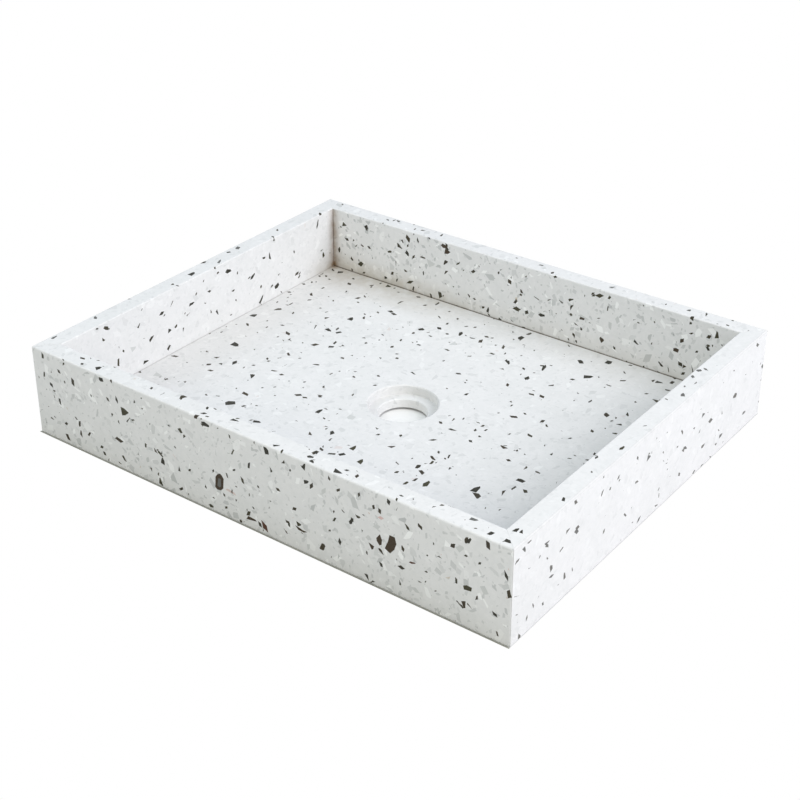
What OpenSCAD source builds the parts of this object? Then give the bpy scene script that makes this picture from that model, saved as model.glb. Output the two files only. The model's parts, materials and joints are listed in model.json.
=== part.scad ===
// Countertop washbasin built from polished terrazzo slabs.
// Four mitred wall slabs stand round a floor slab. Thin resin bonds fill every joint,
// and the floor slab carries the stepped waste outlet.
// Millimetres, +Z up, front wall towards -Y, origin at the middle of the resting plane.

/* [Basin] */
// Overall width, left to right
basin_w = 500; // [300:1:900]
// Overall depth, front to back
basin_d = 412; // [250:1:600]
// Overall height of the walls
basin_h = 86; // [70:1:200]

/* [Slabs] */
// Thickness of the four wall slabs
wall_t = 18.5; // [12:0.5:40]
// Thickness of the floor slab
floor_t = 18.5; // [15:0.5:30]
// Height of the floor slab's underside above the resting plane
floor_lift = 1.5; // [0.5:0.5:12]

/* [Resin bonds] */
// Thickness of the bond in each mitred corner
mitre_bond_t = 0.4; // [0.2:0.1:1.5]
// Thickness of the bond between the floor slab and each wall
floor_bond_t = 0.6; // [0.3:0.1:2]
// Depth by which a bond lies below the polished faces
bond_rake = 0.2; // [0.1:0.1:0.5]

/* [Waste outlet] */
// Diameter of the hole that the waste's threaded body passes through
waste_bore_d = 45; // [38:0.5:52]
// Diameter of the recess that the waste's flange drops into
waste_recess_d = 64; // [60:0.5:90]
// Depth of that recess below the basin floor
waste_recess_depth = 9; // [3:0.5:10]
// Distance of the outlet's centre behind the middle of the basin
waste_offset_y = 0; // [-30:1:30]

/* [Eased edges] */
// Radius of the outer top edge
outer_top_r = 1.6; // [0.5:0.1:4]
// Radius of the inner top edge
inner_top_r = 1.2; // [0.5:0.1:4]
// Radius of the four upright outer corners
corner_r = 1.6; // [0.5:0.1:4]
// Chamfer along the lower edges
foot_chamfer = 0.8; // [0.3:0.1:2]
// Radius of the rim where the recess meets the basin floor
rim_r = 1.5; // [0.5:0.1:2.5]
// Chamfer at the two ends of the waste hole
bore_chamfer = 0.8; // [0.3:0.1:1.5]

/* [Hidden] */

terrazzo = [0.88, 0.89, 0.88];
floor_terrazzo = [0.86, 0.88, 0.89];
resin = [0.70, 0.69, 0.66];

inner_w = basin_w - 2 * wall_t;
inner_d = basin_d - 2 * wall_t;
slab_w = inner_w - 2 * floor_bond_t;
slab_d = inner_d - 2 * floor_bond_t;
floor_top = floor_lift + floor_t;
ledge_z = floor_top - waste_recess_depth;
// How far half a mitre bond shortens a wall at each end
mitre_shift = mitre_bond_t / sqrt(2);
// Cutters run past the faces that they cut by this much
over = 1;
round_fn = 64;
bore_fn = 128;

// Cutter that rounds a 2D corner to radius r. The corner is at the origin and the
// material lies at x > 0, y < 0.
module round_cut(r) {
    difference() {
        translate([-over, -r]) square([r + over, r + over]);
        translate([r, -r]) circle(r, $fn = round_fn);
    }
}

// Cutter that chamfers a 2D corner by c. The corner is at the origin and the
// material lies at x > 0, y > 0.
module chamfer_cut(c) {
    polygon([[-over, -over], [c + over, -over], [-over, c + over]]);
}

// Section of a wall, with the outer face at x = 0 and the inner face at x = wall_t.
// inset draws the whole section in from the polished faces, as the bonds are.
module wall_section(inset = 0) {
    difference() {
        translate([inset, inset]) square([wall_t - 2 * inset, basin_h - 2 * inset]);
        translate([inset, basin_h - inset]) round_cut(outer_top_r);
        translate([wall_t - inset, basin_h - inset]) mirror([1, 0]) round_cut(inner_top_r);
        translate([inset, inset]) chamfer_cut(foot_chamfer);
        translate([wall_t - inset, inset]) mirror([1, 0]) chamfer_cut(foot_chamfer);
    }
}

// A straight length of that section along X, centred on x = 0. Its outer face lies on
// y = 0 and its inner face on y = wall_t.
module wall_bar(length, inset = 0) {
    translate([-length / 2, 0, 0])
        rotate([90, 0, 90])
            linear_extrude(length) wall_section(inset);
}

// Plan of one wall: both ends cut to the mitre, and the outer corners rounded.
module wall_plan(length) {
    outer_end = length / 2 - mitre_shift;
    inner_end = outer_end - wall_t;
    difference() {
        polygon([[-outer_end, 0], [outer_end, 0], [inner_end, wall_t], [-inner_end, wall_t]]);
        translate([-length / 2, 0]) mirror([0, 1]) round_cut(corner_r);
        translate([length / 2, 0]) rotate(180) round_cut(corner_r);
    }
}

// One wall: the bar, trimmed to its plan.
module mitred_wall(length) {
    intersection() {
        wall_bar(length);
        linear_extrude(basin_h) wall_plan(length);
    }
}

// Puts a child against one side of the basin: 0 front, 1 right, 2 rear, 3 left.
module at_side(side) {
    reach = side % 2 == 0 ? basin_d / 2 : basin_w / 2;
    rotate(90 * side) translate([0, -reach, 0]) children();
}

module front_wall() color(terrazzo) at_side(0) mitred_wall(basin_w);
module right_wall() color(terrazzo) at_side(1) mitred_wall(basin_d);
module rear_wall() color(terrazzo) at_side(2) mitred_wall(basin_w);
module left_wall() color(terrazzo) at_side(3) mitred_wall(basin_d);

// Turns a child made for the front left corner into one of the four corners.
module at_corner(x_sign, y_sign) {
    mirror([x_sign > 0 ? 1 : 0, 0, 0])
        mirror([0, y_sign > 0 ? 1 : 0, 0])
            translate([-basin_w / 2, -basin_d / 2, 0])
                children();
}

// The resin film in the mitre of the front left corner, with that corner at the origin:
// an upright sheet on the diagonal, trimmed to the raked section of both walls.
module mitre_bond() {
    color(resin) difference() {
        intersection() {
            rotate(45) translate([0, -mitre_bond_t / 2, 0])
                cube([2 * wall_t, mitre_bond_t, basin_h]);
            wall_bar(4 * wall_t, bond_rake);
            mirror([1, -1, 0]) wall_bar(4 * wall_t, bond_rake);
        }
        translate([bond_rake, bond_rake, -over]) linear_extrude(basin_h + 2 * over)
            mirror([0, 1]) round_cut(corner_r);
    }
}

module mitre_bond_front_left() at_corner(-1, -1) mitre_bond();
module mitre_bond_front_right() at_corner(1, -1) mitre_bond();
module mitre_bond_rear_left() at_corner(-1, 1) mitre_bond();
module mitre_bond_rear_right() at_corner(1, 1) mitre_bond();

// What is bored out of the floor slab, as one revolve about the outlet's axis: the hole,
// the chamfers at its two ends, the flange recess and the recess's rounded rim.
module outlet_cutter() {
    bore_r = waste_bore_d / 2;
    recess_r = waste_recess_d / 2;
    rotate_extrude($fn = bore_fn) {
        translate([0, floor_lift - over]) square([bore_r, floor_t + over]);
        translate([0, ledge_z]) square([recess_r, waste_recess_depth + over]);
        polygon([
            [0, floor_lift - over], [bore_r + bore_chamfer + over, floor_lift - over],
            [bore_r, floor_lift + bore_chamfer], [0, floor_lift + bore_chamfer]
        ]);
        polygon([
            [0, ledge_z - bore_chamfer], [bore_r, ledge_z - bore_chamfer],
            [bore_r + bore_chamfer, ledge_z], [0, ledge_z]
        ]);
        difference() {
            translate([0, floor_top - rim_r]) square([recess_r + rim_r, rim_r + over]);
            translate([recess_r + rim_r, floor_top - rim_r]) circle(rim_r, $fn = round_fn);
        }
    }
}

module floor_slab() {
    color(floor_terrazzo) difference() {
        translate([-slab_w / 2, -slab_d / 2, floor_lift]) cube([slab_w, slab_d, floor_t]);
        translate([0, waste_offset_y, 0]) outlet_cutter();
    }
}

// The resin film along one edge of the floor slab, mitred to the next film at each end.
module floor_bond(side, length) {
    outer_end = length / 2;
    inner_end = outer_end - floor_bond_t;
    color(resin) at_side(side) translate([0, wall_t, floor_lift])
        linear_extrude(floor_t - bond_rake)
            polygon([
                [-outer_end, 0], [outer_end, 0],
                [inner_end, floor_bond_t], [-inner_end, floor_bond_t]
            ]);
}

module floor_bond_front() floor_bond(0, inner_w);
module floor_bond_right() floor_bond(1, inner_d);
module floor_bond_rear() floor_bond(2, inner_w);
module floor_bond_left() floor_bond(3, inner_d);

front_wall();
rear_wall();
left_wall();
right_wall();
floor_slab();
mitre_bond_front_left();
mitre_bond_front_right();
mitre_bond_rear_left();
mitre_bond_rear_right();
floor_bond_front();
floor_bond_rear();
floor_bond_left();
floor_bond_right();
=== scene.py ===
import json
import math
import random

import bmesh
import bpy
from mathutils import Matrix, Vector
from mathutils.geometry import delaunay_2d_cdt


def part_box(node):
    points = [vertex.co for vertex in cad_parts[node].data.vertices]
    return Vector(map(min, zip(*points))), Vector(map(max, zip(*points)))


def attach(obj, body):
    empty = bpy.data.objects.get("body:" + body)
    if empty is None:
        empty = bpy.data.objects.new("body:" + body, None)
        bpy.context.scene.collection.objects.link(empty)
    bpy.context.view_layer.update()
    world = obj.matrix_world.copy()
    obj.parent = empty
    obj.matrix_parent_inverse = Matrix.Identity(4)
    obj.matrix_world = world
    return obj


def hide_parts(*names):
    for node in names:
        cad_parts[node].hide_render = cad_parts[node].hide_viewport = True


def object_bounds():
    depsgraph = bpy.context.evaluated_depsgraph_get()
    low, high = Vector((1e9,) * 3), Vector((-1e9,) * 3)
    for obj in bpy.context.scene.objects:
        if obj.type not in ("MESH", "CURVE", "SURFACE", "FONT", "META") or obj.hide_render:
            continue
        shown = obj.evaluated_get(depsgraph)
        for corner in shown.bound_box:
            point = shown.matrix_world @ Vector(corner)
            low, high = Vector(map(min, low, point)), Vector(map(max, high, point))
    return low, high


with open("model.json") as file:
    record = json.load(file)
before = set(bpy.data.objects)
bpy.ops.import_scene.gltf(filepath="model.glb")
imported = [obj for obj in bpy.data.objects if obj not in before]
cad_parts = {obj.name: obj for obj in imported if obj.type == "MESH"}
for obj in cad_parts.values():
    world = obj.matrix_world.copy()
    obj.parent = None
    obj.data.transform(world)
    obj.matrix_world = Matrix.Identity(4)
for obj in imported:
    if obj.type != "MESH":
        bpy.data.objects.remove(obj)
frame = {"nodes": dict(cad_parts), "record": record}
cad_low, cad_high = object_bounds()

# One millimetre in Blender's metres
MM = 0.001
# Where the basin's outermost faces lie
FRONT_FACE_MM = cad_low[1] / MM
REAR_FACE_MM = cad_high[1] / MM
RIGHT_FACE_MM = cad_high[0] / MM
TOP_FACE_MM = cad_high[2] / MM


# Camera: the photograph's view, in real sizes

CAMERA_PLACE = Vector((0.7134, -0.9572, 0.7207))
CAMERA_AZIMUTH = math.radians(36.83)
CAMERA_ELEVATION = math.radians(27.33)
CAMERA_LENS = 69.3
SENSOR_WIDTH = 36.0
# The photograph's own shift is larger, but would crop the basin in most other views
CAMERA_SHIFT_UP = -0.10
# The nearest and the farthest that the camera sees, in metres
CAMERA_CLIP = (0.05, 50.0)


def add_camera():
    data = bpy.data.cameras.new("photo_view")
    data.lens = CAMERA_LENS
    data.sensor_width = SENSOR_WIDTH
    data.shift_y = CAMERA_SHIFT_UP
    data.clip_start, data.clip_end = CAMERA_CLIP
    camera = bpy.data.objects.new("photo_view", data)
    bpy.context.scene.collection.objects.link(camera)
    level = math.cos(CAMERA_ELEVATION)
    back = Vector((
        math.sin(CAMERA_AZIMUTH) * level,
        -math.cos(CAMERA_AZIMUTH) * level,
        math.sin(CAMERA_ELEVATION),
    ))
    camera.location = CAMERA_PLACE
    camera.rotation_mode = "QUATERNION"
    camera.rotation_quaternion = (-back).to_track_quat("-Z", "Y")
    bpy.context.scene.camera = camera


# Shader sockets as Python values


class Wire:
    """An output socket. Arithmetic on it adds the nodes that work the result out."""

    tree = None

    def __init__(self, socket):
        self.socket = socket

    def __getitem__(self, output):
        return Wire(self.socket.node.outputs[output])

    @classmethod
    def node(cls, kind, settings=None, **sockets):
        """Adds a node, sets it up, then fills its inputs with numbers or with other wires.
        An input is named by its label with _ for a space, or by its number as in_0."""
        node = cls.tree.nodes.new(kind)
        for name, value in (settings or {}).items():
            setattr(node, name, value)
        for name, value in sockets.items():
            key = int(name[3:]) if name.startswith("in_") else name.replace("_", " ")
            socket = node.inputs[key]
            if isinstance(value, Wire):
                cls.tree.links.new(value.socket, socket)
            else:
                socket.default_value = value
        shown = [output for output in node.outputs if output.enabled]
        return cls(shown[0]) if shown else None

    def _work(self, operation, left, right):
        """Adds a Math node, or a Vector Math node where either side is a vector."""
        sides = (left, right)
        if any(isinstance(side, Wire) and side.socket.type == "VECTOR" for side in sides):
            kind = "ShaderNodeVectorMath"
            left, right = (
                side if isinstance(side, (Wire, tuple, Vector)) else (side, side, side)
                for side in sides
            )
        else:
            kind = "ShaderNodeMath"
        return Wire.node(kind, {"operation": operation}, in_0=left, in_1=right)

    def __add__(self, other):
        return self._work("ADD", self, other)

    def __radd__(self, other):
        return self._work("ADD", other, self)

    def __sub__(self, other):
        return self._work("SUBTRACT", self, other)

    def __rsub__(self, other):
        return self._work("SUBTRACT", other, self)

    def __mul__(self, other):
        return self._work("MULTIPLY", self, other)

    def __rmul__(self, other):
        return self._work("MULTIPLY", other, self)

    def __truediv__(self, other):
        return self._work("DIVIDE", self, other)

    def __rtruediv__(self, other):
        return self._work("DIVIDE", other, self)

    def __lt__(self, other):
        return self._work("LESS_THAN", self, other)

    def __gt__(self, other):
        return self._work("GREATER_THAN", self, other)

    def __abs__(self):
        return Wire.node("ShaderNodeMath", {"operation": "ABSOLUTE"}, in_0=self)

    def __pow__(self, other):
        return self._work("POWER", self, other)

    def dot(self, direction):
        return Wire.node(
            "ShaderNodeVectorMath", {"operation": "DOT_PRODUCT"}, in_0=self, in_1=direction
        )["Value"]

    def most(self, other):
        return self._work("MAXIMUM", self, other)

    def between(self, low, high):
        """Maps 0..1 of this wire to low..high."""
        return low + self * (high - low)

    def clamped(self):
        return Wire.node("ShaderNodeClamp", None, Value=self, Min=0.0, Max=1.0)


def blend(factor, under, over):
    """Lays the colour over on the colour under, as far as factor says."""
    return Wire.node(
        "ShaderNodeMix", {"data_type": "RGBA"}, Factor=factor,
        in_6=under if isinstance(under, Wire) else (*under, 1.0),
        in_7=over if isinstance(over, Wire) else (*over, 1.0),
    )


def split(wire):
    parts = Wire.node("ShaderNodeSeparateXYZ", None, Vector=wire)
    return parts["X"], parts["Y"], parts["Z"]


def noise(point, size_mm, detail=2.0, roughness=0.5):
    """Noise all through the stone, with patches about size_mm across."""
    return Wire.node(
        "ShaderNodeTexNoise", {"noise_dimensions": "3D"}, Vector=point,
        Scale=1.0 / size_mm, Detail=detail, Roughness=roughness,
    )


# Terrazzo

# Outward directions of the flat faces that bound a crushed chip, before it is turned
CHIP_FACES = [
    Vector(direction).normalized() for direction in (
        (1.0, 0.15, 0.1), (-0.85, 0.4, -0.2), (0.2, 1.0, -0.25),
        (-0.1, -1.0, 0.3), (0.25, -0.2, 1.0), (-0.3, 0.25, -1.0),
    )
]
# Width over which a chip's edge runs into the matrix
CHIP_EDGE_MM = 0.12
# The least and the most that one face of a chip is cut back, as a share of its reach
CUT_BACK = (0.7, 1.9)
# A chip whose middle is this near to the top of the rim counts as one of the rim's
RIM_DEPTH_MM = 4.0


class ChipSize:
    """One size of chip in the mix: how far apart its cells are, how large its chips grow,
    what share of the cells holds one, and how slim they are. spare is the bulk, from 0 to 1,
    above which they are left out where the larger chips are listed."""

    def __init__(self, cell, least, most, share, slim=(0.35, 0.9), spare=2.0):
        self.cell = cell
        self.least = least
        self.most = most
        self.share = share
        self.slim = slim
        self.spare = spare


def thrown_again(dice):
    """Three new random numbers made of three others."""
    return Wire.node(
        "ShaderNodeTexWhiteNoise", {"noise_dimensions": "3D"}, Vector=dice
    )["Color"]


def scatter(point, size, offset, hand_laid=(), crowding=None, bare=None):
    """The mask of one size of chip, and three random numbers that belong to each chip.
    Each chip is a convex lump with flat faces, so a wall's face cuts it as a saw does.
    crowding raises or lowers how many of them there are, in the slab and then at its rim,
    and the bare zone has none."""
    moved = point + offset
    cells = Wire.node(
        "ShaderNodeTexVoronoi", {"voronoi_dimensions": "3D", "feature": "F1"},
        Vector=moved, Scale=1.0 / size.cell, Randomness=1.0,
    )
    first_dice = cells["Color"]
    second_dice = thrown_again(first_dice)
    here, bulk, kind = split(second_dice)
    long_dice, flat_dice, _ = split(first_dice)
    cuts = [dice.between(*CUT_BACK) for dice in split(thrown_again(second_dice))]
    turned = Wire.node(
        "ShaderNodeVectorRotate", {"rotation_type": "EULER_XYZ"},
        Vector=moved - cells["Position"],
        Rotation=Wire.node(
            "ShaderNodeVectorMath", {"operation": "SCALE"}, in_0=first_dice, Scale=math.tau
        ),
    )
    stretch = Wire.node(
        "ShaderNodeCombineXYZ", None,
        X=1.0, Y=1.0 / flat_dice.between(*size.slim), Z=1.0 / long_dice.between(*size.slim),
    )
    shaped = turned * stretch
    depth = shaped.dot(CHIP_FACES[0])
    for number, face in enumerate(CHIP_FACES[1:]):
        depth = depth.most(shaped.dot(face) * cuts[number % len(cuts)])
    reach = (bulk * bulk).between(size.least, size.most)
    centre = cells["Position"] - offset
    share = size.share
    if crowding:
        at_rim = split(centre)[2] > TOP_FACE_MM - RIM_DEPTH_MM
        share = at_rim.between(*crowding) * share
    mask = ((reach - depth) / CHIP_EDGE_MM + 0.5).clamped() * (here < share)
    if bare:
        mask = mask * (1.0 - bare.holds(centre))
    if size.spare < 1.0:
        for zone in hand_laid:
            mask = mask * (1.0 - zone.holds(centre) * (bulk > size.spare))
    return mask, (bulk, kind, long_dice)


class Zone:
    """A box in the basin's millimetres, open on the sides that aren't given."""

    def __init__(self, low=(None, None, None), high=(None, None, None)):
        self.low = low
        self.high = high

    def holds(self, place):
        """1 where the place is in the box, and 0 elsewhere."""
        tests = []
        for axis, low, high in zip(split(place), self.low, self.high):
            if low is not None:
                tests.append(axis > low)
            if high is not None:
                tests.append(axis < high)
        inside = tests[0]
        for test in tests[1:]:
            inside = inside * test
        return inside


PALE_SMALL = ChipSize(5.0, 1.0, 2.4, 0.70)
PALE_LARGE = ChipSize(8.5, 1.8, 5.0, 0.80, slim=(0.3, 0.8))
WHITE = ChipSize(10.0, 1.8, 5.5, 0.65, slim=(0.3, 0.8))
WARM = ChipSize(26.0, 1.5, 3.6, 0.35)
DARK_SMALL = ChipSize(7.0, 0.6, 1.6, 0.10, slim=(0.3, 0.8))
DARK_MEDIUM = ChipSize(9.4, 2.1, 4.0, 0.62, slim=(0.28, 0.7), spare=0.80)
DARK_LARGE = ChipSize(24.0, 3.2, 6.5, 0.45, slim=(0.3, 0.7), spare=0.0)

MATRIX = (0.745, 0.742, 0.740)
MATRIX_SHADE = (0.690, 0.692, 0.688)
PALE_CHIP = (0.475, 0.485, 0.480)
PALE_CHIP_LIGHT = (0.640, 0.645, 0.640)
WHITE_CHIP = (0.845, 0.848, 0.842)
ROSE_CHIP = (0.620, 0.450, 0.430)
BEIGE_CHIP = (0.560, 0.510, 0.430)
CHARCOAL = (0.026, 0.024, 0.015)
OLIVE = (0.042, 0.038, 0.016)
BROWN = (0.042, 0.025, 0.010)
RUST = (0.085, 0.035, 0.018)
SLATE = (0.120, 0.120, 0.112)
SMOKE = (0.560, 0.570, 0.560)

# The painted shade in the rear left corner: its colour, and how far it reaches from the corner
CORNER_SHADE = (0.250, 0.165, 0.095)
CORNER_SHADE_REACH_MM = 12.0
# Neither the painted corner shade nor the painted warm shade goes deeper into the walls than this
SHADE_DEPTH_MM = 5.0
# The share of the painted corner shade that is left at the top of the walls
CORNER_SHADE_AT_TOP = 0.35
# The fainter painted warm shade on the floor: its colour, how far it reaches from the rear edge,
# from the left one and up the walls, and the least share of it along the rear edge
WARM_SHADE = (0.545, 0.520, 0.475)
WARM_SHADE_FROM_REAR_MM = 50.0
WARM_SHADE_FROM_LEFT_MM = 200.0
WARM_SHADE_UP_MM = 20.0
WARM_SHADE_LEAST = 0.3
# Dirt in the seams round the floor: its colour, its width, how much of it there is, and
# the share of it that is left where it is thinnest
SEAM_DIRT = (0.100, 0.080, 0.055)
SEAM_WIDTH_MM = 1.0
REAR_SEAM = 0.8
LEFT_SEAM = 0.10
THIN_DIRT = 0.5
# The painted corner shade, the painted warm shade and the seam dirt lie in patches of this size
PATCH_MM = 9.0
# The right wall's outer top edge, eased by hand, gets painted shade that tones down its highlight:
# its width and shade
SHADED_EDGE_MM = 1.6
EDGE_PAINTED_SHADE = 0.10
# The band at the top of the rim is this deep: the painted corner shade stays below it, the pale
# chips are painted weaker in it, and the mitres' resin in it is painted lighter
RIM_BAND_MM = 1.0
# The resin of the rear corners is painted the rim's lighter colour this deep from behind
REAR_BAND_MM = 8.0
# The pale chips show no more strongly than this on the rim, painted weaker there as on the other
# brightly lit faces
TOP_MOTTLE = 0.6

# How far a chip's edge frays, and the size of its frays
FRAY_MM = 0.25
FRAY_SIZE_MM = 1.1
# Each kind of chip is drawn this much farther along in the stone than the kind before it
PATTERN_STEP_MM = Vector((137.0, 71.0, 193.0))
# The matrix's two patterns of light and shade: sizes, strengths, and where both begin
CLOUD_MM = 26.0
MOTTLE_MM = 4.5
CLOUD_STRENGTH = 1.5
MOTTLE_STRENGTH = 2.2
TONE_FROM = 0.4
# How strongly each kind of pale chip stands out, the least and the most where two are given
PALE_SMALL_SHOWS = 0.6
PALE_LARGE_SHOWS = (0.35, 0.85)
WHITE_SHOWS = (0.15, 0.9)
WARM_SHOWS = 0.7
# Specks in the random dark chips, and grain in the hand-laid ones
SPECKLE_MM = 0.5
SPECKLE_SHOWS = 0.03
GRAIN_MM = 1.6
GRAIN_FROM = 0.35
GRAIN_SHOWS = 0.08
# The honed finish: haze in its gloss, how much smoother the hard chips are, and how
# strongly the stone reflects
HAZE_MM = 60.0
STONE_ROUGHNESS = (0.50, 0.60)
HARD_CHIP_GLOSS = 0.12
STONE_IOR = 1.5
STONE_SPECULAR = 0.3
# The honed finish: its faint waves, and how far the hard chips stand out of them
WAVE_MM = 9.0
WAVE_HEIGHT = 0.6
HARD_CHIP_HEIGHT = 0.15
STONE_RELIEF = 0.06
STONE_RELIEF_DEPTH = 0.4 * MM
# Resin: patches of stain, where they begin, how hard their edges are, and its grit
RESIN_STAIN_MM = 14.0
RESIN_STAIN_FROM = 0.35
RESIN_STAIN_EDGE = 3.0
GRIT_MM = 0.8
GRIT_RELIEF = 0.2
GRIT_DEPTH = 0.2 * MM
RESIN_ROUGHNESS = (0.5, 0.7)


def millimetres():
    """The place of each point, in the basin's millimetres."""
    place = Wire.node("ShaderNodeTexCoord")["Object"]
    return Wire.node("ShaderNodeVectorMath", {"operation": "SCALE"}, in_0=place, Scale=1.0 / MM)


def new_material(name):
    material = bpy.data.materials.new(name)
    material.use_nodes = True
    Wire.tree = material.node_tree
    Wire.tree.nodes.clear()
    return material


def corner_shade_and_seam_dirt(point, colour):
    """Painted shade up the rear left corner, darkest at its foot, and a fainter painted warm shade
    on the floor near there and along the rear edge; and dirt in the seams round the floor."""
    floor_low, floor_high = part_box("floor_slab")
    left_edge = floor_low[0] / MM
    rear_edge = floor_high[1] / MM
    across, back, up = split(point)
    from_left = abs(across - left_edge)
    from_rear = abs(back - rear_edge)
    from_floor = up - floor_high[2] / MM
    # Noise is 0.5 in the mean, so the patches leave the amounts as they are in the mean
    patches = noise(point, PATCH_MM, detail=3.0, roughness=0.6)["Fac"] * 2.0
    from_corner = (from_left * from_left + from_rear * from_rear) ** 0.5
    near = (1.0 - from_corner / CORNER_SHADE_REACH_MM).clamped()
    below_rim = up < TOP_FACE_MM - RIM_BAND_MM
    height = (1.0 - from_floor / TOP_FACE_MM).clamped().between(CORNER_SHADE_AT_TOP, 1.0)
    inside = (across > left_edge - SHADE_DEPTH_MM) * (back < rear_edge + SHADE_DEPTH_MM)
    # The painted shade in the corner, held below the rim and inside the walls
    stain = (near * near * height * patches * below_rim * inside).clamped()
    beside_rear = (1.0 - from_rear / WARM_SHADE_FROM_REAR_MM).clamped()
    beside_left = ((1.0 - from_left / WARM_SHADE_FROM_LEFT_MM) * 2.0).clamped()
    low_down = (1.0 - from_floor / WARM_SHADE_UP_MM).clamped() * inside
    shade = beside_rear * beside_left.between(WARM_SHADE_LEAST, 1.0) * low_down * patches
    # Painted warm shade on the floor, then the painted corner shade over it
    colour = blend(shade.clamped(), colour, WARM_SHADE)
    colour = blend(stain, colour, CORNER_SHADE)
    for aside, amount in ((from_rear, REAR_SEAM), (from_left, LEFT_SEAM)):
        from_seam = (aside * aside + from_floor * from_floor) ** 0.5
        in_seam = (2.0 - 2.0 * from_seam / SEAM_WIDTH_MM).clamped()
        dirt = in_seam * patches.between(THIN_DIRT, 1.0)
        colour = blend((dirt * amount).clamped(), colour, SEAM_DIRT)
    return colour


def terrazzo(name, slab):
    """Honed terrazzo: a pale cement matrix with crushed chips all through it."""
    material = new_material(name)
    point = millimetres()
    frayed = point + Wire.node(
        "ShaderNodeVectorMath", {"operation": "MULTIPLY_ADD"},
        in_0=noise(point, FRAY_SIZE_MM)["Color"], in_1=(2.0 * FRAY_MM,) * 3, in_2=(-FRAY_MM,) * 3,
    )

    def shift(step):
        """How far one kind of chip, or one pattern of light and shade, is moved."""
        return tuple(Vector(slab.offset_mm) + PATTERN_STEP_MM * step)

    # The pale chips are painted weaker on the brightly lit rim and faces, stronger on shaded ones
    on_top = split(point)[2] > TOP_FACE_MM - RIM_BAND_MM
    strength = on_top.between(slab.mottle, min(slab.mottle, TOP_MOTTLE))

    cloud = noise(point + shift(9), CLOUD_MM, detail=3.0, roughness=0.6)["Fac"]
    mottle = noise(point + shift(10), MOTTLE_MM, detail=3.0, roughness=0.7)["Fac"]
    tone = (cloud - TONE_FROM) * CLOUD_STRENGTH + (mottle - TONE_FROM) * MOTTLE_STRENGTH
    colour = blend(tone.clamped(), MATRIX_SHADE, MATRIX)

    mask, (_, kind, _) = scatter(frayed, PALE_SMALL, shift(1))
    pale = blend(kind, PALE_CHIP, PALE_CHIP_LIGHT)
    colour = blend(mask * strength * PALE_SMALL_SHOWS, colour, pale)

    mask, (_, kind, _) = scatter(frayed, WHITE, shift(2))
    shows = mask * kind.between(*WHITE_SHOWS) * strength
    colour = blend(shows.clamped(), colour, WHITE_CHIP)

    mask, (bulk, kind, _) = scatter(frayed, PALE_LARGE, shift(3))
    pale = blend(kind, PALE_CHIP, PALE_CHIP_LIGHT)
    shows = mask * bulk.between(*PALE_LARGE_SHOWS) * strength
    colour = blend(shows.clamped(), colour, pale)

    mask, (_, kind, _) = scatter(frayed, WARM, shift(4))
    warm = blend(kind, ROSE_CHIP, BEIGE_CHIP)
    colour = blend((mask * WARM_SHOWS * strength).clamped(), colour, warm)
    # Painted shade in the rear left corner and on the floor near it, and dirt in the seams
    if slab.has_shade_and_seam_dirt:
        colour = corner_shade_and_seam_dirt(point, colour)

    hard = mask
    speckle = noise(point, SPECKLE_MM)["Fac"]
    for step, size in enumerate((DARK_SMALL, DARK_MEDIUM, DARK_LARGE), 5):
        mask, (bulk, kind, tone) = scatter(
            frayed, size, shift(step), slab.hand_laid, slab.crowding, slab.bare
        )
        stone = blend(kind, CHARCOAL, OLIVE)
        stone = blend(bulk * tone, stone, BROWN)
        # Dark stones are paled a little by specks, and on a slab with painted glare by that glare
        stone = blend(speckle * SPECKLE_SHOWS + slab.fade, stone, PALE_CHIP)
        colour = blend(mask, colour, stone)
        hard = hard.most(mask)

    laid = Wire.node("ShaderNodeAttribute", {"attribute_name": "chip"})["Fac"]
    laid_stone = Wire.node("ShaderNodeAttribute", {"attribute_name": "chip_stone"})["Color"]
    grain = noise(point, GRAIN_MM, detail=3.0, roughness=0.6)["Fac"] - GRAIN_FROM
    laid_stone = blend(grain.clamped() * GRAIN_SHOWS, laid_stone, PALE_CHIP)
    colour = blend(laid, colour, laid_stone)
    hard = hard.most(laid)

    # Painted shade on the right wall's outer top edge, which tones down its highlight
    across, _, up = split(point)
    at_right = across > RIGHT_FACE_MM - SHADED_EDGE_MM
    at_top = up > TOP_FACE_MM - SHADED_EDGE_MM
    colour = blend(at_right * at_top * EDGE_PAINTED_SHADE, colour, CHARCOAL)

    haze = noise(point, HAZE_MM)["Fac"]
    roughness = haze.between(*STONE_ROUGHNESS) - hard * HARD_CHIP_GLOSS
    waves = noise(point, WAVE_MM, detail=3.0)["Fac"]
    normal = Wire.node(
        "ShaderNodeBump", None, Strength=STONE_RELIEF, Distance=STONE_RELIEF_DEPTH,
        Height=waves * WAVE_HEIGHT + hard * HARD_CHIP_HEIGHT,
    )
    finish = Wire.node(
        "ShaderNodeBsdfPrincipled", None, Base_Color=colour, Roughness=roughness,
        Normal=normal, IOR=STONE_IOR, Specular_IOR_Level=STONE_SPECULAR,
    )
    Wire.node("ShaderNodeOutputMaterial", None, Surface=finish)
    return material


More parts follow.
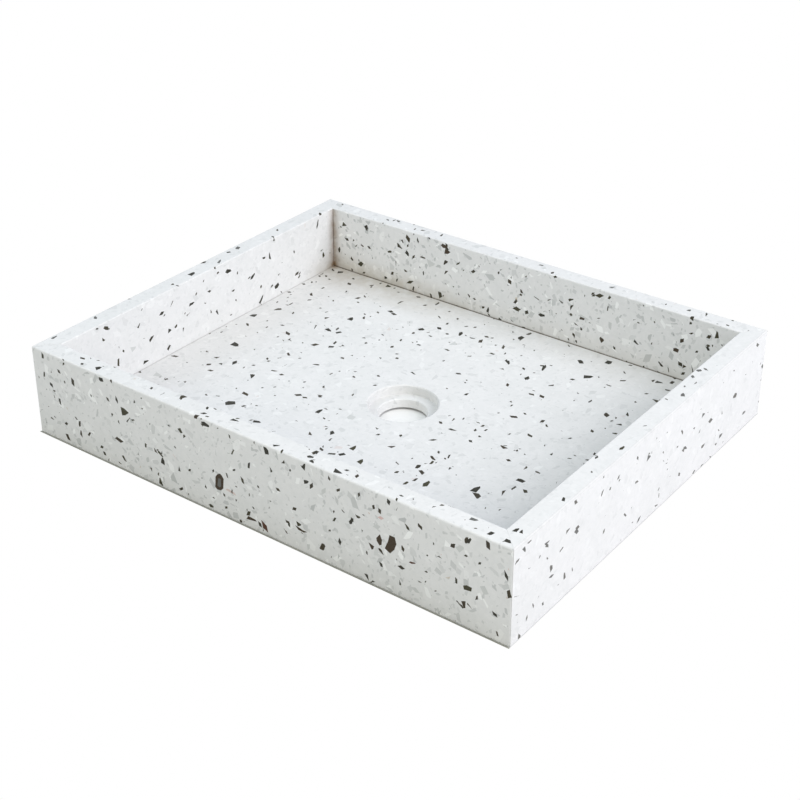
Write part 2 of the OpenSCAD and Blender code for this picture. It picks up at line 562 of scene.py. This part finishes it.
def resin_bond(name, dark, pale, rim=None):
    """Cured adhesive in the joints, dulled, with uneven stains. rim is its colour at the basin's
    rim and behind the basin, where that differs: a lighter painted colour that evens out the shade
    in the mitres' grooves."""
    material = new_material(name)
    point = millimetres()
    stain = noise(point, RESIN_STAIN_MM, detail=3.0, roughness=0.6)["Fac"]
    grit = noise(point, GRIT_MM)["Fac"]
    colour = blend(((stain - RESIN_STAIN_FROM) * RESIN_STAIN_EDGE).clamped(), dark, pale)
    # At the rim and behind the basin the resin is painted lighter, to even out the shade in the
    # grooves
    if rim:
        _, back, up = split(point)
        at_rim = up > TOP_FACE_MM - RIM_BAND_MM
        behind = back > REAR_FACE_MM - REAR_BAND_MM
        colour = blend(at_rim.most(behind), colour, rim)
    normal = Wire.node(
        "ShaderNodeBump", None, Strength=GRIT_RELIEF, Distance=GRIT_DEPTH, Height=grit
    )
    finish = Wire.node(
        "ShaderNodeBsdfPrincipled", None,
        Base_Color=colour, Roughness=grit.between(*RESIN_ROUGHNESS), Normal=normal,
    )
    Wire.node("ShaderNodeOutputMaterial", None, Surface=finish)
    return material


# The larger chips of the faces that the photograph shows

# Outlines of a chip 1 long and 1 wide, with its middle at the origin
BLOCK = [(-0.50, -0.42), (0.36, -0.50), (0.50, 0.30), (-0.08, 0.50), (-0.46, 0.26)]
SHARD = [(-0.50, -0.50), (0.12, -0.40), (0.50, 0.10), (0.28, 0.36), (-0.42, 0.50)]
SPALL = [(-0.50, -0.46), (0.50, -0.14), (0.34, 0.16), (-0.28, 0.50)]
SLIVER = [(-0.50, -0.06), (-0.12, -0.50), (0.50, -0.24), (0.44, 0.20), (-0.22, 0.50)]
LOZENGE = [(-0.50, -0.22), (0.06, -0.50), (0.50, 0.24), (0.02, 0.50)]
STOUT_SHAPES = [BLOCK, SHARD, SPALL, LOZENGE]
SLIM_SHAPES = [SHARD, SPALL, SLIVER, LOZENGE]
# A chip this many times as long as wide takes a slim shape
SLIM_FROM = 1.6
# Each corner of a chip is moved by up to this share of its length and width
CHIP_UNEVENNESS = 0.06
# Chips stay this far inside the face that they are cut into
CHIP_MARGIN_MM = 0.02

STONES = {
    "charcoal": CHARCOAL, "olive": OLIVE, "brown": BROWN, "rust": RUST,
    "slate": SLATE, "smoke": SMOKE, "rose": ROSE_CHIP,
}

# Each chip: how far along and up its face its middle is, its length, its width and its
# turn in degrees. Millimetres, from the basin's origin.
FRONT_CHIPS = {
    "smoke": [
        (226, 41, 8, 8, 0), (165, 13, 8, 4.5, 0), (129, 55, 8, 5, 0), (78, 66, 9, 4, 75),
        (-8, 56, 8, 4, 60), (205, 68, 8, 5, 40),
    ],
    "charcoal": [
        (-228.5, 54.5, 6, 3.5, 115), (-146, 68.5, 7, 3, -85), (-163, 82, 6, 4, 0),
        (-44, 81.5, 9, 4.5, -8), (-96, 27, 7, 4.5, 80), (21, 81, 7, 5, -70), (59, 81.5, 7, 4, 75),
        (61, 68, 5.5, 3.5, 15), (104.5, 49.5, 7.5, 3.2, 65), (93, 26, 7.5, 3.5, -70),
        (119.5, 4.5, 7, 3.5, -60), (140, 82, 6, 4, -50), (133, 22, 5.5, 3.5, -30),
        (212, 77.5, 7, 3, 55), (244.5, 61.5, 9, 2.8, -75), (236, 23.5, 6, 3.5, -50),
    ],
    "olive": [
        (-101, 4.5, 8, 4.5, 100), (-73, 65, 6, 5, 0), (-98.5, 33, 8, 3, -40), (-43, 3.5, 6, 3.5, 0),
        (52, 25, 5, 4.5, 0), (212, 36, 8, 5, 10),
    ],
    "brown": [(1.5, 9, 11, 4, 5)],
    "rust": [(15.5, 8, 13, 5.5, -65), (162, 36.5, 7, 2, 15)],
    "rose": [(133, 64.5, 6, 3, 0)],
}
FRONT_OUTLINES = {
    "brown": [
        [
            (141, 52.5), (146, 52.5), (147.5, 47), (145.5, 41),
            (141.5, 36), (136.5, 38.5), (139.5, 46),
        ],
        [(132, 49.5), (134, 45), (133.5, 40.5), (131.5, 39), (129, 42), (128.5, 44.5)],
        [(121, 37.5), (126.5, 36), (125.5, 33), (124, 32)],
        [
            (-37, 24.5), (-36, 35), (-33.5, 38.5), (-29, 39),
            (-27, 36), (-28, 26.5), (-31, 23.5), (-35, 23),
        ],
        [(48, 22.5), (51, 19.5), (56.5, 19), (60.5, 21), (55.5, 21), (51.5, 22)],
    ],
    "slate": [[(-34.5, 27), (-33, 34.5), (-30.3, 35), (-30.3, 28), (-32, 26)]],
    "olive": [[(-142, 63), (-138, 63), (-132.5, 60.5), (-137, 56.5), (-141, 55)]],
}
FRONT_TOP_CHIPS = {
    "charcoal": [
        (-174, -198, 6, 5.5, 60), (-24, -192.5, 8, 3.5, 10), (-51, -199.5, 6, 3, 20),
        (-54.5, -191.5, 4.5, 2.5, -50), (89, -202, 10, 6, 0), (93, -196, 5, 2.5, 45),
        (59, -198, 6, 3.5, 15), (58.5, -191, 5, 3.5, -50), (64.5, -202.5, 5, 3, -20),
        (27.5, -201.5, 6, 3, 35), (226, -199, 5, 3.5, 75), (241, -199.5, 6, 4, 0),
    ],
    "slate": [(207, -192, 7, 3.5, 10)],
    "smoke": [(-13.5, -202, 7.5, 2, 5)],
}
REAR_CHIPS = {
    "smoke": [(-105, 57.5, 10, 8, 0), (74, 52, 13, 3, -10), (-4, 26, 8, 6, 0), (110, 60, 8, 5, 70)],
    "charcoal": [
        (-187, 75, 6, 5, -65), (-134.5, 60.5, 6, 4.5, -45), (-34.5, 27, 6, 3, 75),
        (27.5, 40, 7.5, 3.5, 10), (131, 43, 7, 3, -35), (203, 60, 5, 5, 0),
    ],
    "olive": [
        (-216.5, 71, 6, 5.5, 0), (-195.5, 32, 8, 6.5, 0), (-131, 29.5, 12, 3.5, 20),
        (-1, 38, 9, 5, 20), (89, 79.5, 10, 4.5, 0), (210.5, 76, 8.5, 4.5, 90),
    ],
    "brown": [(-89, 81.5, 8, 4.5, 0), (-85, 76, 7, 5.5, 0), (172, 48.5, 6, 4, 0)],
}
REAR_TOP_CHIPS = {
    "slate": [
        (-157, 201.5, 6, 4, 160), (-167, 197.5, 6, 2.5, 140), (96.5, 198.5, 6, 3.5, 55),
        (176, 199, 4.5, 3.5, 90),
    ],
    "smoke": [(-231, 197.5, 11, 5, -30), (23, 195.5, 5, 4, 0)],
}
LEFT_CHIPS = {
    "smoke": [(-105, 46, 7, 6, 0)],
    "charcoal": [
        (-146.5, 44.5, 10, 2.5, -20), (-91, 26, 7.5, 3.5, 0), (-66.5, 66.5, 7.5, 4, 0),
        (-58, 45, 5, 5, 0), (-26.5, 60.5, 7.5, 3, 0), (25.5, 75, 9, 4.5, -5), (7, 37.5, 7, 3, -70),
        (60, 56, 8, 3.5, 35), (86.5, 68.5, 8.5, 3, 95), (95.5, 31.5, 7, 5, 20),
        (71.5, 26.5, 11, 3, 50), (162, 76.5, 11, 2.5, 75),
    ],
    "olive": [(170, 39, 6.5, 3.5, 100)],
}
LEFT_TOP_CHIPS = {
    "charcoal": [(-239, -16, 8, 5, 95)],
    "slate": [
        (-244, 54, 7, 4.5, 120), (-237, 20, 9, 2.5, 115), (-246, -183, 8, 3, 90),
        (-245, -135, 6, 3.5, 150),
    ],
}
RIGHT_CHIPS = {
    "slate": [
        (-192, 78.5, 7, 4, -60), (-161, 66.5, 7, 3, 0), (-118.5, 52.5, 7, 6, 0),
        (-152.5, 31.5, 8, 2.5, -15), (-8.5, 62, 7, 6, 0), (-17, 7, 8, 3, 25),
        (57.5, 37.5, 9, 3, -35), (87, 55.5, 6, 4.5, 0), (128, 15, 7, 4, 0), (173, 16.5, 7, 3, 0),
    ],
}
RIGHT_TOP_CHIPS = {
    "charcoal": [
        (238, -184.5, 6, 3.5, 90), (242, -184, 5, 3, 110), (244.5, -131, 6, 2.5, 110),
        (235, -67.5, 6, 2, 85),
    ],
    "olive": [(244, -44, 7, 3, 85)],
    "slate": [(243, 58, 6, 3.5, 120), (235.5, 90, 5, 4, 90), (235, 103, 5, 4, 60)],
}
FLOOR_CHIPS = {
    "smoke": [(-28, 119, 6, 10, 0), (-212, -95.5, 10, 7, 0), (-21.5, -48, 7, 7, 0)],
    "charcoal": [
        (-215.5, 178, 7, 6, 90), (-118, 137, 7, 5, 25), (-140, 101, 7, 6, 90),
        (-70.5, 124.5, 7, 6, 180), (-58, 137, 6.5, 5, 0), (-34.5, 140, 9, 4, -75),
        (-222, 49, 7, 6, 90), (-142.5, 69, 8, 4, -20), (-131.5, 71, 6, 6, 0),
        (-118.5, 43.5, 6, 5.5, 90), (17, 168, 8, 5.5, 90), (88, 161.5, 8, 5, -40),
        (110, 176, 7, 6, 90), (109, 141, 9, 6, 35), (66.5, 131, 12, 3.5, -75),
        (34, 119.5, 9, 5, -40), (64.5, 105, 8, 5, -65), (166, 171, 8, 5, 20), (-195, -8, 9, 7, 0),
        (-171.5, -35, 9, 5, 90), (-141, -45, 8, 5, -55), (-124, -93, 10, 7, 50),
        (-101, -111, 9, 5, 0), (-83, -103, 8, 4, 25), (-51, -56, 8, 4.5, 90), (-19, -78, 7, 5, 90),
        (10, -100, 6, 6, 0), (-10.5, -117, 7, 5, 0), (23, -121, 12, 7, 0),
        (131, -75.5, 10, 5.5, 90), (153.5, -43, 8, 5, 0),
    ],
    "olive": [
        (-154.5, 182, 6, 6, 0), (11.5, -86, 8, 4.5, 90), (94, -94, 10, 5.5, 90),
        (29.5, -99, 7, 5.5, 90),
    ],
}


def outline_of(chip, dice):
    """The outline of one chip in its face, as a shape from the library made uneven, sized,
    turned and moved."""
    along, up, length, width, turn = chip
    shape = dice.choice(SLIM_SHAPES if length > SLIM_FROM * width else STOUT_SHAPES)
    flip = dice.choice((-1.0, 1.0))
    cosine = math.cos(math.radians(turn))
    sine = math.sin(math.radians(turn))
    outline = []
    for x, y in shape:
        x = (x + dice.uniform(-CHIP_UNEVENNESS, CHIP_UNEVENNESS)) * length
        y = (y + dice.uniform(-CHIP_UNEVENNESS, CHIP_UNEVENNESS)) * width * flip
        outline.append((along + x * cosine - y * sine, up + x * sine + y * cosine))
    return outline


def all_outlines(name, chips, outlines):
    """Every chip of a face as (stone, outline). The name seeds the dice."""
    dice = random.Random(name)
    found = [(stone, outline_of(chip, dice)) for stone, group in chips.items() for chip in group]
    return found + [(stone, outline) for stone, group in outlines.items() for outline in group]


# Slabs: merged copies of the CAD slabs with their larger chips cut flush into them


class ShownFace:
    """One flat face of a slab that the photograph shows. It faces along an axis, to the
    low or the high end of it, and its chips are drawn on the two other axes."""

    def __init__(self, facing, high, across, up, chips, outlines=None):
        self.facing = facing
        self.high = high
        self.across = across
        self.up = up
        self.chips = chips
        self.outlines = outlines or {}


X, Y, Z = range(3)
SHOWN_FACES = {
    "front_wall": [
        ShownFace(Y, False, X, Z, FRONT_CHIPS, FRONT_OUTLINES),
        ShownFace(Z, True, X, Y, FRONT_TOP_CHIPS),
    ],
    "rear_wall": [
        ShownFace(Y, False, X, Z, REAR_CHIPS),
        ShownFace(Z, True, X, Y, REAR_TOP_CHIPS),
    ],
    "left_wall": [
        ShownFace(X, True, Y, Z, LEFT_CHIPS),
        ShownFace(Z, True, X, Y, LEFT_TOP_CHIPS),
    ],
    "right_wall": [
        ShownFace(X, True, Y, Z, RIGHT_CHIPS),
        ShownFace(Z, True, X, Y, RIGHT_TOP_CHIPS),
    ],
    "floor_slab": [ShownFace(Z, True, X, Y, FLOOR_CHIPS)],
}
# Vertices nearer than this are one, and faces nearer than that lie in one plane, in metres
MERGE_DISTANCE = 1e-6
PLANE_TOLERANCE = 1e-5
# A face whose normal has this much of an axis faces straight along it
STRAIGHT = 0.99999
# What Blender's triangulation gives: the triangles inside the outlines, to this closeness
TRIANGLES_INSIDE = 1
CUT_CLOSENESS_MM = 1e-4
# A plane with less face area than this, in square metres, is part of a curve
LEAST_FLAT_AREA = 200e-6
# Faces that meet at a lesser angle than this shade into each other
SMOOTH_LIMIT = math.cos(math.radians(35.0))


def rims(patch):
    """The closed runs of vertices round a patch of faces, each in the faces' own sense."""
    patch_faces = set(patch)
    follows = {}
    for face in patch:
        for loop in face.loops:
            if not all(other in patch_faces for other in loop.edge.link_faces):
                follows[loop.vert] = loop.link_loop_next.vert
    runs = []
    while follows:
        start, vertex = follows.popitem()
        run = [start]
        while vertex is not start:
            run.append(vertex)
            vertex = follows.pop(vertex)
        runs.append(run)
    return runs


def area_of(outline):
    """The area inside an outline, negative when it runs clockwise."""
    pairs = zip(outline, outline[1:] + outline[:1])
    return sum(ax * by - bx * ay for (ax, ay), (bx, by) in pairs) / 2.0


def anticlockwise(outline):
    """The outline, turned round if it runs clockwise."""
    return outline if area_of(outline) > 0 else outline[::-1]


def held_inside(outline, border):
    """The outline, anticlockwise, with each point kept within its face by the margin. The
    face's border is convex and runs anticlockwise."""
    held = []
    for place in outline:
        point = Vector(place)
        for start, end in zip(border, border[1:] + border[:1]):
            along = Vector(end) - Vector(start)
            inward = Vector((-along.y, along.x)).normalized()
            short = CHIP_MARGIN_MM - (point - Vector(start)).dot(inward)
            point += inward * max(short, 0.0)
        held.append(tuple(point))
    return anticlockwise(held)


def cut_chips(work, level, shown, chips):
    """Cuts the chips' outlines flush into one face of a slab, and gives the stone of each
    new face that is a chip."""
    def lies_there(face):
        middle = face.calc_center_median()[shown.facing]
        return abs(face.normal[shown.facing]) > STRAIGHT and abs(middle - level) < PLANE_TOLERANCE

    patch = [face for face in work.faces if lies_there(face)]
    runs = rims(patch)

    def drawn(vertex):
        return vertex.co[shown.across] / MM, vertex.co[shown.up] / MM

    runs.sort(key=lambda run: -abs(area_of([drawn(vertex) for vertex in run])))
    bmesh.ops.delete(work, geom=patch, context="FACES_KEEP_BOUNDARY")
    rim = [vertex for run in runs for vertex in run]
    points = [drawn(vertex) for vertex in rim]
    border = anticlockwise(points[:len(runs[0])])
    areas = []
    first = 0
    for number, run in enumerate(runs):
        numbers = list(range(first, first + len(run)))
        areas.append(numbers if number == 0 else numbers[::-1])
        first += len(run)
    for _, outline in chips:
        kept = held_inside(outline, border)
        areas.append(list(range(len(points), len(points) + len(kept))))
        points.extend(kept)
    holes = set(range(1, len(runs)))
    places, _, faces, sources, _, owners = delaunay_2d_cdt(
        [Vector(point) for point in points], [], areas, TRIANGLES_INSIDE, CUT_CLOSENESS_MM
    )
    vertices = []
    for place, source in zip(places, sources):
        own = [number for number in source if number < len(rim)]
        if own:
            vertices.append(rim[own[0]])
            continue
        spot = [0.0, 0.0, 0.0]
        spot[shown.facing] = level
        spot[shown.across] = place[0] * MM
        spot[shown.up] = place[1] * MM
        vertices.append(work.verts.new(spot))
    stones = {}
    for corners, owner in zip(faces, owners):
        if 0 not in owner or holes & set(owner):
            continue
        face = work.faces.new([vertices[number] for number in corners])
        top = max(owner)
        if top >= len(runs):
            stones[face] = STONES[chips[top - len(runs)][0]]
    work.normal_update()
    return stones


def plane_of(face):
    """A key for the plane of a face that faces straight along an axis, or None."""
    middle = face.calc_center_median()
    for axis in (X, Y, Z):
        if abs(face.normal[axis]) > STRAIGHT:
            return axis, face.normal[axis] > 0.0, round(middle[axis] / PLANE_TOLERANCE)
    return None


def corner_normals(work):
    """A shading normal for each corner of each face. Flat faces shade dead flat, and the
    eased edges and the outlet's wall run into them smoothly."""
    areas = {}
    for face in work.faces:
        plane = plane_of(face)
        areas[plane] = areas.get(plane, 0.0) + face.calc_area()
    flat = {
        face for face in work.faces
        if plane_of(face) is not None and areas[plane_of(face)] > LEAST_FLAT_AREA
    }
    normals = []
    for face in work.faces:
        for loop in face.loops:
            near = [
                other for other in loop.vert.link_faces
                if other.normal.dot(face.normal) > SMOOTH_LIMIT
            ]
            beside = [other for other in near if other in flat]
            if face in flat:
                normals.append(face.normal.copy())
            elif beside:
                normals.append(beside[0].normal.copy())
            else:
                total = Vector((0.0, 0.0, 0.0))
                for other in near:
                    total += other.normal * other.calc_area()
                normals.append(total.normalized())
    return normals


def polished_slab(node, material):
    """A smooth copy of a CAD slab that stands for it, with its chips cut into it."""
    low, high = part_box(node)
    work = bmesh.new()
    work.from_mesh(frame["nodes"][node].data)
    bmesh.ops.remove_doubles(work, verts=work.verts, dist=MERGE_DISTANCE)
    work.normal_update()
    stones = {}
    for number, shown in enumerate(SHOWN_FACES[node]):
        level = (high if shown.high else low)[shown.facing]
        chips = all_outlines(f"{node} {number}", shown.chips, shown.outlines)
        stones.update(cut_chips(work, level, shown, chips))
    work.faces.index_update()
    normals = corner_normals(work)
    is_chip = [float(face in stones) for face in work.faces]
    colours = [value for face in work.faces for value in stones.get(face, (0.0, 0.0, 0.0))]
    mesh = bpy.data.meshes.new("polished_" + node)
    for face in work.faces:
        face.smooth = True
        face.material_index = 0
    work.to_mesh(mesh)
    work.free()
    mesh.attributes.new("chip", "FLOAT", "FACE").data.foreach_set("value", is_chip)
    mesh.attributes.new("chip_stone", "FLOAT_VECTOR", "FACE").data.foreach_set("vector", colours)
    mesh.normals_split_custom_set(normals)
    mesh.materials.append(material)
    piece = bpy.data.objects.new("polished_" + node, mesh)
    bpy.context.scene.collection.objects.link(piece)
    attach(piece, "root")
    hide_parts(node)


# Studio

# Half the width of the studio's floor, and the point that the softboxes face
FLOOR_HALF = 6.0
BASIN_MIDDLE = Vector((0.0, 0.0, 0.05))
# Width of the painted contact shadow, a dark line where the front wall meets the floor
CONTACT_LINE = 1.6 * MM
# The shadow painted into the floor in front of the basin reaches this far
SHADE_REACH = 60 * MM
CARD = (0.60, 0.60, 0.60)
SHADED_CARD = (0.40, 0.395, 0.36)
CONTACT_SHADOW_CARD = (0.28, 0.275, 0.235)
OUTLET_CARD = (0.80, 0.80, 0.79)
CARD_ROUGHNESS = 0.8
# The glow painted on the card below the outlet: its colour and its strength
PAINTED_OUTLET_GLOW = (0.95, 0.98, 1.0, 1.0)
PAINTED_OUTLET_GLOW_STRENGTH = 0.06
BURNT_OUT = (1.0, 1.0, 1.0, 1.0)
BACKDROP = (0.94, 1.0, 1.07, 1.0)
BACKDROP_STRENGTH = 0.60
# Each softbox: its name, its place and its width in metres, its power in watts, its colour
SOFTBOXES = [
    ("key_right", (2.44, 0.37, 1.76), 2.2, 71.0, (1.0, 0.98, 1.0)),
    ("fill_front", (0.2, -2.5, 1.7), 2.0, 21.0, (1.0, 0.94, 0.70)),
    ("fill_left", (-2.0, -0.3, 2.0), 2.0, 17.5, (0.86, 1.0, 1.1)),
]


def add_floor():
    """A pale floor, burnt out to white in the picture all round the basin, as it is in the
    photograph. It lights the basin as plain pale card does, with the basin's own shadow on it,
    more shadow painted in front of the basin and a painted contact shadow at the front wall.
    Under the basin it is card in the picture too, with the outlet's disc paler and given a painted
    glow."""
    mesh = bpy.data.meshes.new("studio_floor")
    corners = [
        (x * FLOOR_HALF, y * FLOOR_HALF, 0.0) for x, y in ((-1, -1), (1, -1), (1, 1), (-1, 1))
    ]
    mesh.from_pydata(corners, [], [(0, 1, 2, 3)])
    floor = bpy.data.objects.new("studio_floor", mesh)
    bpy.context.scene.collection.objects.link(floor)
    mesh.materials.append(new_material("studio_floor"))
    across, back, _ = split(Wire.node("ShaderNodeTexCoord")["Object"])
    waste = next(mount for mount in frame["record"]["mounts"] if mount["name"] == "waste_bore")
    from_x = across - waste["pos_m"][0]
    from_y = back - waste["pos_m"][1]
    hole = waste["dims"]["r_mm"] * MM
    in_hole = (from_x * from_x + from_y * from_y) < hole * hole
    in_front = cad_low[1] - back
    # A shadow of the basin painted into the card in front of it
    shade = (1.0 - in_front / SHADE_REACH).clamped() * (in_front > 0.0)
    colour = blend(shade, CARD, SHADED_CARD)
    # The painted contact shadow at the front wall's foot
    colour = blend((in_front > 0.0) * (in_front < CONTACT_LINE), colour, CONTACT_SHADOW_CARD)
    colour = blend(in_hole, colour, OUTLET_CARD)
    card = Wire.node(
        "ShaderNodeBsdfPrincipled", None, Base_Color=colour, Roughness=CARD_ROUGHNESS
    )
    # The card below the outlet glows a little: a painted glow
    glow = Wire.node(
        "ShaderNodeEmission", None, Color=PAINTED_OUTLET_GLOW, Strength=PAINTED_OUTLET_GLOW_STRENGTH
    )
    lit_card = Wire.node("ShaderNodeAddShader", None, in_0=card, in_1=glow)
    burnt_out = Wire.node("ShaderNodeEmission", None, Color=BURNT_OUT, Strength=1.0)
    under = Wire.node("ShaderNodeMixShader", None, in_0=in_hole, in_1=card, in_2=lit_card)
    in_picture = Wire.node("ShaderNodeLightPath")["Is Camera Ray"]
    around = (abs(across) > cad_high[0]).most(back > cad_high[1]).most(in_front > CONTACT_LINE)
    finish = Wire.node(
        "ShaderNodeMixShader", None, in_0=in_picture * around, in_1=under, in_2=burnt_out
    )
    Wire.node("ShaderNodeOutputMaterial", None, Surface=finish)


def add_softbox(name, place, width, power, colour):
    """A round softbox that faces the basin."""
    data = bpy.data.lights.new(name, "AREA")
    data.shape = "DISK"
    data.size = width
    data.energy = power
    data.color = colour
    light = bpy.data.objects.new(name, data)
    bpy.context.scene.collection.objects.link(light)
    light.location = place
    light.rotation_mode = "QUATERNION"
    light.rotation_quaternion = (BASIN_MIDDLE - Vector(place)).to_track_quat("-Z", "Y")


def add_studio_light():
    world = bpy.data.worlds.new("studio")
    world.use_nodes = True
    backdrop = world.node_tree.nodes["Background"]
    backdrop.inputs["Color"].default_value = BACKDROP
    backdrop.inputs["Strength"].default_value = BACKDROP_STRENGTH
    bpy.context.scene.world = world
    for softbox in SOFTBOXES:
        add_softbox(*softbox)
    bpy.context.scene.view_settings.view_transform = "Standard"


# Dressing the basin

# How far below or behind a shown face a random chip's middle has to lie to stay hidden
HIDING_DEPTH_MM = 7.0
REAR_INNER_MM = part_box("rear_wall")[0][1] / MM
LEFT_INNER_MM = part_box("left_wall")[1][0] / MM
FLOOR_TOP_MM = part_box("floor_slab")[1][2] / MM
# The floor shows in the photograph behind this line and left of that one
FLOOR_SHOWN_FROM_MM = -125.0
FLOOR_SHOWN_TO_MM = 180.0
# The rear wall shows left of this line, and the left wall behind that one
REAR_SHOWN_TO_MM = 220.0
LEFT_SHOWN_FROM_MM = -165.0


class Slab:
    """How one slab is dressed: where its pattern lies in the stone, how strongly its pale chips
    show, painted weaker on brightly lit faces and stronger on shaded ones, how crowded its
    dark ones are in it and at its rim, where its larger chips are listed, how far painted
    glare pales its dark stones, whether it has painted corner shade and seam dirt, and where
    it has no dark chip."""

    def __init__(
        self, offset_mm, mottle, crowding, hand_laid, fade=0.0, has_shade_and_seam_dirt=False, bare=None
    ):
        self.offset_mm = offset_mm
        self.mottle = mottle
        self.crowding = crowding
        self.hand_laid = hand_laid
        self.fade = fade
        self.has_shade_and_seam_dirt = has_shade_and_seam_dirt
        self.bare = bare


TOP_ZONE = Zone(low=(None, None, TOP_FACE_MM - HIDING_DEPTH_MM))
# No dark chip shows in the outlet in the photograph, nor close round its rim
OUTLET_ZONE = Zone(low=(-37.0, -45.0, None), high=(45.0, 37.0, None))
SLABS = {
    "front_wall": Slab((11.0, 3.0, 7.0), 1.2, (1.2, 1.2), [
        Zone(high=(None, FRONT_FACE_MM + HIDING_DEPTH_MM, None)), TOP_ZONE,
    ]),
    "rear_wall": Slab((410.0, 260.0, 31.0), 1.6, (1.35, 0.6), [
        Zone(high=(REAR_SHOWN_TO_MM, REAR_INNER_MM + HIDING_DEPTH_MM, None)), TOP_ZONE,
    ], has_shade_and_seam_dirt=True),
    "left_wall": Slab((63.0, 815.0, 118.0), 0.4, (0.6, 0.4), [
        Zone(low=(LEFT_INNER_MM - HIDING_DEPTH_MM, LEFT_SHOWN_FROM_MM, None)), TOP_ZONE,
    ], has_shade_and_seam_dirt=True),
    # The right wall's dark chips are paled by painted glare
    "right_wall": Slab((920.0, 44.0, 205.0), 0.3, (0.75, 0.35), [
        Zone(low=(RIGHT_FACE_MM - HIDING_DEPTH_MM, None, None)), TOP_ZONE,
    ], fade=0.2),
    "floor_slab": Slab((277.0, 530.0, 640.0), 0.5, None, [
        Zone(
            low=(None, FLOOR_SHOWN_FROM_MM, FLOOR_TOP_MM - HIDING_DEPTH_MM),
            high=(FLOOR_SHOWN_TO_MM, None, None),
        ),
    ], has_shade_and_seam_dirt=True, bare=OUTLET_ZONE),
}

# The two ends of each resin's colour, and the one colour of the mitres' at the rim, painted lighter
# to even out the shade in their grooves
PALE_RESIN = ((0.680, 0.672, 0.655), (0.740, 0.736, 0.724))
RIM_RESIN_PAINTED_LIGHT = (0.800, 0.800, 0.795)
GREY_RESIN = ((0.240, 0.225, 0.200), (0.420, 0.405, 0.375))
FADED_RESIN = ((0.380, 0.372, 0.360), (0.540, 0.535, 0.525))
BROWN_RESIN = ((0.075, 0.055, 0.035), (0.170, 0.140, 0.105))
JOINT_RESINS = {
    "mitre_bond_rear_left": BROWN_RESIN,
    "floor_bond_rear": BROWN_RESIN,
    "floor_bond_left": FADED_RESIN,
}


def dress_joint(node):
    is_mitre = node.startswith("mitre")
    dark, pale = JOINT_RESINS.get(node, PALE_RESIN if is_mitre else GREY_RESIN)
    # The mitres are painted lighter at the rim and behind, to even out the shade in their grooves
    rim = RIM_RESIN_PAINTED_LIGHT if is_mitre else None
    materials = frame["nodes"][node].data.materials
    materials.clear()
    materials.append(resin_bond(node + "_resin", dark, pale, rim))


def dress_basin():
    for node, slab in SLABS.items():
        stone = terrazzo(node + "_terrazzo", slab)
        polished_slab(node, stone)
    for node in frame["nodes"]:
        if "bond" in node:
            dress_joint(node)


add_camera()
add_floor()
add_studio_light()
dress_basin()
